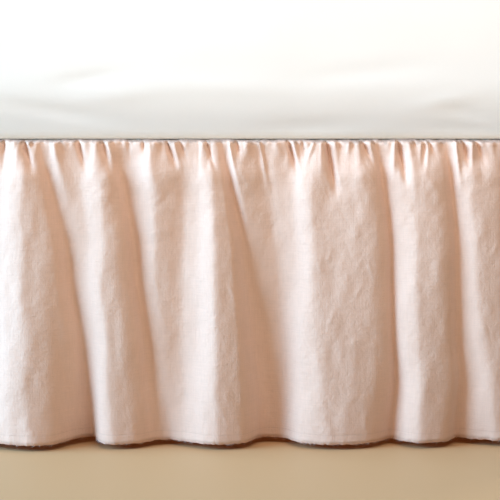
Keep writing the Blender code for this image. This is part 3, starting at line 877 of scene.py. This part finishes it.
def slabRings(width, length, radius, profile, places):
    # Rings of a rounded slab. A ring follows the plan's rounded rectangle, anticlockwise from
    # the middle of the head end; each row of the profile gives its inset from the plan, its
    # shrink towards the slab's middle (1 is all the way) and its height. Also returned: how far
    # along the outline each place lies.
    coreX, coreY = width / 2 - radius, length / 2 - radius
    arc = radius * math.pi / 2
    stretch = np.array([coreX, arc, 2 * coreY, arc, 2 * coreX, arc, 2 * coreY, arc, coreX])
    start = np.concatenate([[0], np.cumsum(stretch)])
    s = (np.arange(places) + 0.5) / places * start[-1]
    turn = sum(np.clip((s - start[i]) / radius, 0, math.pi / 2) for i in (1, 3, 5, 7))
    x = -np.clip(s, 0, coreX) + np.clip(s - start[4], 0, 2 * coreX) - np.clip(s - start[8], 0, coreX)
    y = coreY - np.clip(s - start[2], 0, 2 * coreY) + np.clip(s - start[6], 0, 2 * coreY)
    inset, shrink, height = (np.array(profile)[:, i, None] for i in range(3))
    rings = np.empty((len(profile), places, 3))
    rings[..., 0] = (x - np.sin(turn) * (radius - inset)) * (1 - shrink)
    rings[..., 1] = (y + np.cos(turn) * (radius - inset)) * (1 - shrink) + bed["centreY"]
    rings[..., 2] = height
    return rings, s


def quarterRound(distance, radius):
    # inset of a rounded edge at a distance from the face that it runs into
    t = np.clip(1 - distance / radius, 0, 1)
    return radius * (1 - np.sqrt(1 - t * t))


# The deck: plain cotton, laid flat under the mattress, its edge inside the panels' seam
deck = {
    "colour": "#dccfc0",
    "threadScale": 520.0,
    "thickness": 0.0009,
    "edgeRound": 0.0003,
    "cornerRadius": 0.053,
    "places": 360,
    "ringStep": 0.08,   # the rings inside the edge close in on the middle by this share
    "rings": 12,
}
deckMaterial, tree, shader = newMaterial("plain cotton sheeting", deck["colour"], 0.9, {"Sheen Weight": 0.1})
deckThreads = pieceNoise(tree, deck["threadScale"], 2.0)
deckTone = addNode(tree, "ShaderNodeMapRange", {"To Min": 0.93, "To Max": 1.03},
                   {"Value": deckThreads.outputs["Fac"]})
tintBy(tree, shader, deck["colour"], deckTone.outputs["Result"])
raiseBy(tree, shader, 0.4, 0.3 * mm, deckThreads.outputs["Fac"])

top, under = deckHigh[2], deckHigh[2] - deck["thickness"]
edgeRound, ringStep = deck["edgeRound"], deck["ringStep"]
deckProfile = [(0, 0.97 - ringStep * i, under) for i in range(deck["rings"])]
deckProfile += [(edgeRound, 0, under), (0, 0, under + edgeRound)]
deckProfile += [(0, 0, top - edgeRound), (edgeRound, 0, top)]
deckProfile += [(0, 0.09 + ringStep * i, top) for i in range(deck["rings"])]
rings, _ = slabRings(bed["width"], bed["length"], deck["cornerRadius"], deckProfile, deck["places"])
mesh = ringMesh("deckSheet", rings)
deckSheet = linkPiece("deckSheet", mesh, deckMaterial, "deck")
print("deck laid")


# The mattress in a fitted white cover: soft creases run along its sides, and it narrows
# towards its underside
mattress = {
    "colour": "#f6eadf",
    "cornerRadius": 0.062,
    "tuckHeight": 0.080,
    "tuckInset": 0.020,
    "underRadius": 0.012,
    "topRadius": 0.045,
    "crown": 0.004,
    "places": 760,
    "sideRows": 34,
    "topRows": 26,
    "creaseRelief": 0.3 * mm,
    "topRelief": 1.4 * mm,
    "inView": 0.08,      # the creases below lie within this distance of the foot end
    "creaseRise": 0.012,   # they and the side's waves reach full strength at this height
    "topEase": 0.004,      # the top's waves fade in over this height
    "sideCell": (0.17, 0.032),
    "sideSlant": 0.3,
    "sideFineCell": (0.07, 0.05),
    "topCell": (0.16, 0.21),
    "topFineCell": (0.05, 0.07),
}
# creases in view at the foot end, in millimetres: the middle's place across the bed and above
# the underside, half length, half width, tilt in degrees and relief
mattressCreases = (
    (-220, 82, 45, 6, 8, -1.6),
    (-262, 38, 78, 8, -9, -2.2),
    (-180, 60, 60, 9, 5, 1.2),
    (80, 17, 60, 9, 2, -1.6),
    (295, 12, 60, 8, -4, -1.8),
    (287, 38, 34, 5, -14, -1.6),
    (262, 52, 40, 7, 10, 1.2),
    (-40, 70, 90, 12, -3, 1.0),
    (150, 90, 80, 11, 6, -1.0),
)


def mattressInset(z):
    # the tuck eases out as a square; both rims are quarter rounds
    tuck = mattress["tuckInset"] * np.clip(1 - z / mattress["tuckHeight"], 0, 1) ** 2
    lowRim = quarterRound(z, mattress["underRadius"])
    return tuck + lowRim + quarterRound(mattressDepth - z, mattress["topRadius"])


mattressDepth = mattressHigh[2] - mattressLow[2]
rim = mattress["underRadius"] * np.array([0.02, 0.1, 0.3, 0.6])
side = np.linspace(mattress["underRadius"], mattressDepth - mattress["topRadius"], mattress["sideRows"])
shoulder = mattressDepth - mattress["topRadius"] * (1 - np.sin(np.linspace(0, math.pi / 2, 11)[1:]))
heights = np.concatenate([rim, side, shoulder])
edgeInset = mattressInset(heights)
lowShrink = np.linspace(0.97, 0.03, 12)
highShrink = np.linspace(0.02, 0.98, mattress["topRows"])
crown = mattress["crown"] * (1 - (1 - highShrink) ** 3)
profile = [(edgeInset[0], s, mattressLow[2]) for s in lowShrink]
profile += [(i, 0, mattressLow[2] + z) for i, z in zip(edgeInset, heights)]
profile += [(mattress["topRadius"], s, mattressHigh[2] + c) for s, c in zip(highShrink, crown)]
rings, s = slabRings(bed["width"], bed["length"], mattress["cornerRadius"], profile, mattress["places"])

# the creases push the sides in and out along the outline's normal, and the top up and down
lift = rings[..., 2] - mattressLow[2]
around = np.broadcast_to(s, lift.shape)
wide, tall = mattress["sideCell"]
soft = latticeNoise(around / wide + lift / mattress["sideSlant"], lift / tall, 91)
wide, tall = mattress["sideFineCell"]
soft = soft + 0.5 * latticeNoise(around / wide, lift / tall, 92)
push = mattress["creaseRelief"] * soft
inFront = rings[..., 1] < deckLow[1] + mattress["inView"]
for x, z, halfLength, halfWidth, tilt, relief in mattressCreases:
    dx, dz = rings[..., 0] - x * mm, lift - z * mm
    lengthways = dx * math.cos(math.radians(tilt)) + dz * math.sin(math.radians(tilt))
    across = dz * math.cos(math.radians(tilt)) - dx * math.sin(math.radians(tilt))
    bell = np.exp(-(lengthways / (halfLength * mm)) ** 2 - (across / (halfWidth * mm)) ** 2)
    push += inFront * relief * mm * bell
sideShare = np.clip(lift / mattress["creaseRise"], 0, 1)
sideShare = sideShare * np.clip((mattressDepth - lift) / mattress["topRadius"], 0, 1)
outward = np.gradient(rings, axis=1)
outward = np.stack([outward[..., 1], -outward[..., 0]], axis=-1)
outward /= np.linalg.norm(outward, axis=-1)[..., None]
rings[..., :2] += outward * (push * sideShare)[..., None]
topEase = mattress["topEase"]
onTop = np.clip((lift - mattressDepth + topEase) / topEase, 0, 1)
wide, tall = mattress["topCell"]
waves = latticeNoise(rings[..., 0] / wide, rings[..., 1] / tall, 93)
wide, tall = mattress["topFineCell"]
waves = waves + 0.4 * latticeNoise(rings[..., 0] / wide, rings[..., 1] / tall, 94)
rings[..., 2] += onTop * mattress["topRelief"] * waves

percale, tree, shader = newMaterial("cotton percale", mattress["colour"], 0.75,
                                    {"Sheen Weight": 0.15, "Sheen Roughness": 0.4,
                                     "Specular IOR Level": 0.35})
weaveNoise = pieceNoise(tree, 700.0, 2.0)   # the weave
washNoise = pieceNoise(tree, 9.0, 3.0)      # slow shifts of tone from washing
mixed = addNode(tree, "ShaderNodeMath", {"operation": "MULTIPLY_ADD", 1: 0.5},
                {0: weaveNoise.outputs["Fac"], 2: washNoise.outputs["Fac"]})
percaleTone = addNode(tree, "ShaderNodeMapRange",
                      {"From Min": 0.4, "From Max": 1.1, "To Min": 0.975, "To Max": 1.01},
                      {"Value": mixed.outputs["Value"]})
tintBy(tree, shader, mattress["colour"], percaleTone.outputs["Result"])
raiseBy(tree, shader, 0.25, 0.25 * mm, weaveNoise.outputs["Fac"])
mesh = ringMesh("mattressCover", rings)
mattressCover = linkPiece("mattressCover", mesh, percale, "mattress")
print("mattress made")


# The base: a box spring in striped ticking, with a corded seam along both rims
base = {
    "colour": "#d8d3c8",
    "stripe": "#8e97a0",
    "stripePitch": 0.024,
    "stripeShare": 0.09,   # half a stripe's width as a share of the pitch
    "threadScale": 600.0,
    "cornerRadius": 0.048,
    "cord": 0.0035,
    "cordOut": 0.0015,
    "sideCrown": 0.0012,
    "places": 420,
    "sideRows": 20,
}
baseDepth = baseHigh[2] - baseLow[2]
cordTurn = np.linspace(-math.pi / 2, math.pi / 2, 9)
cordInset = base["cord"] * (1 - np.cos(cordTurn))
cordRise = base["cord"] * (1 + np.sin(cordTurn))
sideHeights = np.linspace(2 * base["cord"] + 0.001, baseDepth - 2 * base["cord"] - 0.001, base["sideRows"])
crownOut = base["sideCrown"] * np.sin(math.pi * (sideHeights / baseDepth))
profile = [(base["cord"], s, baseLow[2]) for s in np.linspace(0.97, 0.01, 10)]
profile += [(i, 0, baseLow[2] + z) for i, z in zip(cordInset, cordRise)][1:]
sideInset = base["cordOut"] + base["sideCrown"] - crownOut
profile += [(i, 0, baseLow[2] + z) for i, z in zip(sideInset, sideHeights)]
profile += [(i, 0, baseHigh[2] - 2 * base["cord"] + z) for i, z in zip(cordInset, cordRise)][:-1]
profile += [(base["cord"], s, baseHigh[2]) for s in np.linspace(0.01, 0.97, 10)]
baseWidth, baseLength = baseHigh[0] - baseLow[0], baseHigh[1] - baseLow[1]
rings, _ = slabRings(baseWidth, baseLength, base["cornerRadius"], profile, base["places"])
ticking, tree, shader = newMaterial("striped cotton ticking", base["colour"], 0.85, {"Sheen Weight": 0.1})
place = addNode(tree, "ShaderNodeTexCoord")
split = addNode(tree, "ShaderNodeSeparateXYZ", {}, {"Vector": place.outputs["Object"]})
aroundBase = addNode(tree, "ShaderNodeMath", {"operation": "ADD"},
                     {0: split.outputs["X"], 1: split.outputs["Y"]})
wave = addNode(tree, "ShaderNodeMath", {"operation": "PINGPONG", 1: base["stripePitch"] / 2},
               {0: aroundBase.outputs["Value"]})
stripe = addNode(tree, "ShaderNodeMath",
                 {"operation": "LESS_THAN", 1: base["stripePitch"] * base["stripeShare"]},
                 {0: wave.outputs["Value"]})
tickingThreads = pieceNoise(tree, base["threadScale"], 2.0)
tickingTone = addNode(tree, "ShaderNodeMapRange", {"To Min": 0.92, "To Max": 1.04},
                      {"Value": tickingThreads.outputs["Fac"]})
garoundBase = addNode(tree, "ShaderNodeMix",
                 {"data_type": "RGBA", 6: toLinear(base["colour"]), 7: toLinear(base["stripe"])},
                 {0: stripe.outputs["Value"]})
colour = addNode(tree, "ShaderNodeVectorMath", {"operation": "SCALE"},
                 {0: garoundBase.outputs[2], "Scale": tickingTone.outputs["Result"]})
tree.links.new(colour.outputs["Vector"], shader.inputs["Base Color"])
raiseBy(tree, shader, 0.4, 0.3 * mm, tickingThreads.outputs["Fac"])
mesh = ringMesh("baseCover", rings)
baseCover = linkPiece("baseCover", mesh, ticking, "bed_base")
print("base made")


# The legs stay as their solids, in oiled beech: rings of early and late wood run up the leg,
# with short darker flecks
legLook = {"light": "#b98a5f", "dark": "#99693f", "ringPitch": 0.0045, "fleck": (900, 900, 90)}
beech, tree, shader = newMaterial("oiled beech", legLook["light"], 0.42,
                                  {"Coat Weight": 0.1, "Coat Roughness": 0.3})
place = addNode(tree, "ShaderNodeTexCoord")
grainMap = addNode(tree, "ShaderNodeMapping", {"Scale": (1, 1, 0.08)}, {"Vector": place.outputs["Object"]})
woodRings = addNode(tree, "ShaderNodeTexWave",
                    {"wave_type": "RINGS", "rings_direction": "Z", "Scale": 1 / legLook["ringPitch"] / 6.3,
                     "Distortion": 5.0, "Detail": 2.0, "Detail Scale": 1.5},
                    {"Vector": grainMap.outputs["Vector"]})
fleckMap = addNode(tree, "ShaderNodeMapping", {"Scale": legLook["fleck"]},
                   {"Vector": place.outputs["Object"]})
fleck = addNode(tree, "ShaderNodeTexNoise", {"Scale": 1.0, "Detail": 1.0},
                {"Vector": fleckMap.outputs["Vector"]})
mixed = addNode(tree, "ShaderNodeMath", {"operation": "MULTIPLY_ADD", 1: 0.5},
                {0: fleck.outputs["Fac"], 2: woodRings.outputs["Fac"]})
ramp = addNode(tree, "ShaderNodeMix",
               {"data_type": "RGBA", 6: toLinear(legLook["dark"]), 7: toLinear(legLook["light"])},
               {0: mixed.outputs["Value"]})
tree.links.new(ramp.outputs[2], shader.inputs["Base Color"])
raiseBy(tree, shader, 0.2, 0.2 * mm, fleck.outputs["Fac"])
for row in ("foot", "middle", "head"):
    for side in ("left", "right"):
        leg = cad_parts["leg_" + row + "_" + side]
        for slot in leg.material_slots:
            slot.material = beech
print("legs finished")
